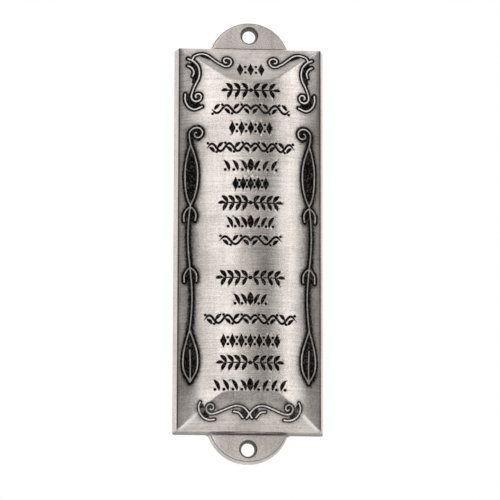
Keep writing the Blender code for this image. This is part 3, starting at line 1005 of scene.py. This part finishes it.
def screw_steel():
    """Plated steel, a little stained."""
    s = Shader("screw_steel", Metallic=1.0)
    turned = s.noise((4200, 4200, 4200), detail=2)
    stain = s.noise((700, 700, 700), detail=2)
    s.set("Base Color", s.mix(s.spread(stain, 0.35, 0.7),
                              (0.66, 0.66, 0.655, 1), (0.42, 0.41, 0.39, 1)))
    s.set("Roughness", s.spread(turned, 0.3, 0.7, 0.20, 0.34))
    s.bump(turned, 0.006 * MM)
    return s.material


def parchment():
    """Matt skin with fibres, pores and browner ends."""
    s = Shader("parchment", Subsurface_Weight=0.12, Subsurface_Radius=(0.0006, 0.0004, 0.0002))
    fibre = s.noise((2600, 2600, 420), detail=4, roughness=0.65)
    follicles = s.noise((6500, 6500, 6500), detail=1)
    age = s.noise((160, 160, 90), detail=3)
    axes = s.node("SeparateXYZ", s.place).outputs
    ends = s.spread(s.math("ABSOLUTE", axes[2]), 31 * MM, 35 * MM, 0, 0.45)
    warm = s.math("ADD", s.times(age, 0.8), ends, clamp=True)
    skin = s.mix(s.spread(warm, 0.25, 0.85), (0.80, 0.66, 0.43, 1), (0.58, 0.41, 0.22, 1))
    s.set("Base Color", s.mix(s.spread(fibre, 0.35, 0.7, 0, 0.22), skin, (0.45, 0.34, 0.21, 1)))
    s.set("Roughness", s.spread(fibre, 0.3, 0.7, 0.55, 0.75))
    s.bump(s.plus(fibre, s.times(follicles, 0.4)), 0.02 * MM)
    return s.material


def clear_film():
    """Thin film with a slight haze and fine scratches."""
    s = Shader("clear_film", Alpha=0.16, IOR=1.49)
    haze = s.noise((500, 500, 70), detail=2)
    scratches = s.noise((5200, 5200, 300), detail=2)
    s.set("Base Color", s.mix(s.spread(haze, 0.3, 0.7),
                              (0.90, 0.91, 0.90, 1), (0.80, 0.82, 0.81, 1)))
    s.set("Roughness", s.spread(scratches, 0.35, 0.75, 0.06, 0.24))
    s.bump(scratches, 0.008 * MM)
    return s.material


def studio_floor():
    s = Shader("studio_floor")
    speckle = s.noise((60, 60, 60), detail=3)
    s.set("Base Color", s.mix(speckle, (0.86, 0.86, 0.86, 1), (0.90, 0.90, 0.90, 1)))
    s.set("Roughness", s.spread(speckle, 0.3, 0.7, 0.7, 0.85))
    s.bump(speckle, 0.2 * MM)
    return s.material


# ------------------------ studio

# Brightness of the surroundings: (place from -1 to 1 along an axis, level)
SIDE_BANDS = ((-1, 0.20), (-0.84, 0.18), (-0.74, 0.34), (-0.66, 0.50), (-0.57, 0.68),
              (-0.45, 0.84), (-0.30, 0.94), (-0.16, 1.0), (-0.05, 0.92), (0.03, 0.50), (0.10, 0.18),
              (0.20, 0.06), (0.30, 0.14), (0.42, 0.58), (0.53, 1.0), (0.65, 0.90), (0.74, 0.56),
              (0.80, 0.36), (0.86, 0.16), (1, 0.14))
HEIGHT_BANDS = ((-1, 1.0), (-0.74, 1.0), (-0.66, 0.85), (-0.57, 0.45), (-0.40, 0.55), (0.0, 1.0),
                (0.35, 1.0), (0.70, 0.85), (0.84, 0.95), (0.93, 1.0), (1, 1.0))
END_BANDS = ((-1, 1), (-0.72, 1), (-0.48, 0), (0.45, 0), (0.72, 1), (1, 1))
BEHIND_BANDS = ((-1, 0), (-0.12, 0), (0.2, 1), (1, 1))
END_LEVEL = 0.58
FRONT_LEVEL = 1.50

# Each light: name, place, width, height and power
LIGHTS = (("soft_left", (-0.55, -0.75, 0.25), 0.35, 0.7, 0.25),
          ("soft_right", (0.60, -0.75, 0.20), 0.35, 0.7, 0.25),
          ("soft_back", (0.1, 0.9, 0.7), 0.8, 0.6, 1.5))
FLOOR_SIZE = 4.0
FLOOR_HEIGHT = -0.30


def make_world():
    """A white studio behind the case, and soft bright and grey bands in front of it."""
    world = bpy.data.worlds.new("studio")
    bpy.context.scene.world = world
    world.use_nodes = True
    n = Nodes(world.node_tree)
    side, depth, height = n.node("SeparateXYZ", n.node("TexCoord").outputs["Generated"]).outputs

    def band(source, stops):
        ramp = n.node("ValToRGB", n.node("MapRange", source, -1).outputs[0])
        ramp.color_ramp.interpolation = "EASE"
        elements = ramp.color_ramp.elements
        for place, _ in stops[1:-1]:
            elements.new((place + 1) / 2)
        for element, (place, level) in zip(elements, stops):
            element.position = (place + 1) / 2
            element.color = (level, level, level, 1)
        return ramp.outputs[0]

    white = (1, 1, 1, 1)
    front = n.mix(band(height, END_BANDS), band(side, SIDE_BANDS),
                  (END_LEVEL, END_LEVEL, END_LEVEL, 1))
    front = n.mix(1.0, front, band(height, HEIGHT_BANDS), "MULTIPLY")
    front = n.mix(1.0, front, (FRONT_LEVEL, FRONT_LEVEL, FRONT_LEVEL, 1), "MULTIPLY")
    around = n.mix(band(depth, BEHIND_BANDS), front, white)
    seen = n.node("LightPath").outputs["Is Camera Ray"]
    background = n.tree.nodes["Background"]
    n.link(n.mix(seen, around, white), background.inputs["Color"])
    background.inputs["Strength"].default_value = 1.0


CAMERA_AZIMUTH = -3.99
CAMERA_ELEVATION = -10.97
CAMERA_ROLL = 0.142
CAMERA_DISTANCE = 0.9
CAMERA_TARGET = (0.206 * MM, -4 * MM, -2.88 * MM)
CAMERA_LENS = 256.2


def make_camera():
    azimuth, elevation = math.radians(CAMERA_AZIMUTH), math.radians(CAMERA_ELEVATION)
    back = Vector((math.sin(azimuth) * math.cos(elevation),
                   -math.cos(azimuth) * math.cos(elevation), math.sin(elevation)))
    right = Vector((0, 0, 1)).cross(back).normalized()
    up = back.cross(right)
    roll = Matrix.Rotation(math.radians(CAMERA_ROLL), 3, "Z")
    turn = (Matrix((right, up, back)).transposed() @ roll).to_4x4()
    place = Vector(CAMERA_TARGET) + back * CAMERA_DISTANCE
    camera = bpy.data.cameras.new("camera")
    camera.lens = CAMERA_LENS
    camera.sensor_width = 36
    camera.clip_start = 0.01
    item = bpy.data.objects.new("camera", camera)
    item.matrix_world = Matrix.Translation(place) @ turn
    bpy.context.scene.collection.objects.link(item)
    bpy.context.scene.camera = item


def add_light(name, place, width, height, power):
    """A soft rectangular light, aimed at the case."""
    lamp = bpy.data.lights.new(name, "AREA")
    lamp.shape = "RECTANGLE"
    lamp.size = width
    lamp.size_y = height
    lamp.energy = power
    item = bpy.data.objects.new(name, lamp)
    item.location = place
    item.rotation_euler = (-Vector(place)).to_track_quat("-Z", "Y").to_euler()
    item.visible_camera = False
    bpy.context.scene.collection.objects.link(item)


def make_studio():
    bpy.context.scene.view_settings.view_transform = "Standard"
    make_world()
    make_camera()
    for light in LIGHTS:
        add_light(*light)
    size, height = FLOOR_SIZE, FLOOR_HEIGHT
    mesh = bpy.data.meshes.new("floor")
    mesh.from_pydata([(-size, -size, height), (size, -size, height), (size, size, height),
                      (-size, size, height)], [], [(0, 1, 2, 3)])
    floor = new_object("floor", mesh)
    floor.data.materials.append(studio_floor())


# ------------------------ putting it together

def place_piece(piece, body, node, material):
    piece.data.materials.clear()
    piece.data.materials.append(material)
    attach(piece, body)
    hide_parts(node)


def main():
    make_studio()
    place_piece(build_casting(), "case", "case_front", antique_pewter())
    place_piece(build_cover(), "cover", "back_cover", cover_sheet())
    steel = screw_steel()
    for name in ("upper", "lower"):
        place_piece(build_screw(name + "_slotted_screw", name + "_cover_screw"),
                    name + "_screw", name + "_cover_screw", steel)
    place_piece(build_scroll(), "scroll", "scroll", parchment())
    place_piece(build_sleeve(), "scroll", "scroll_sleeve", clear_film())


main()
